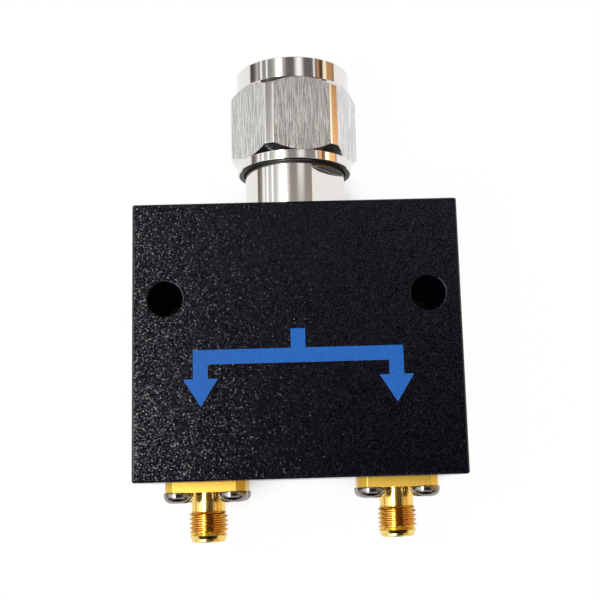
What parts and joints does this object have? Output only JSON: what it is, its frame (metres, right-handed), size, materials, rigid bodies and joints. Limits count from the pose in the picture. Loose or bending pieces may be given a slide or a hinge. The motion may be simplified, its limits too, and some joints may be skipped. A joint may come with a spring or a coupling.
{
  "type": "rf power splitter",
  "caption": "Rectangular coaxial power splitter block with a male plug and hexagon coupling nut on one end and threaded flange jacks on the other.",
  "frame": {"origin": "midway between the two mounting holes, on the plane of the back", "axes": "+Z out of the front face, +Y along the plug, +X to the right seen from the front"},
  "size_m": [0.052, 0.0787, 0.022],
  "materials": {
    "black_coat": "black textured powder coat on milled aluminium",
    "turned_steel": "turned and polished, brushed on the flats",
    "screw_steel": "bright stainless steel",
    "gold_plate": "gold plated",
    "ptfe": "white PTFE",
    "laminate": "microwave laminate",
    "copper": "bare copper",
    "chip_ceramic": "chip resistor",
    "silicone": "moulded silicone",
    "blue_ink": "screen-printed ink"
  },
  "bodies": {
    "splitter": {"housing": "black_coat", "rear_cover": "black_coat", "cover_screws": "screw_steel", "circuit_board": "laminate", "microstrip_trace": "copper", "isolation_resistor": "chip_ceramic", "board_screws": "screw_steel", "plug_body": "turned_steel", "outer_contact": "gold_plate", "plug_insulator": "ptfe", "plug_pin": "gold_plate", "plug_gasket": "silicone", "snap_ring": "screw_steel", "left_jack_body": "gold_plate", "right_jack_body": "gold_plate", "left_jack_insulator": "ptfe", "right_jack_insulator": "ptfe", "left_jack_contact": "gold_plate", "right_jack_contact": "gold_plate", "flange_screws": "screw_steel"},
    "nut": {"coupling_nut": "turned_steel"}
  },
  "joints": [
    {"name": "nut_spin", "type": "hinge", "parent": "splitter", "child": "nut", "pos_m": [0, 0.0318, 0.011], "axis": [0, 1, 0], "continuous": true}
  ]
}
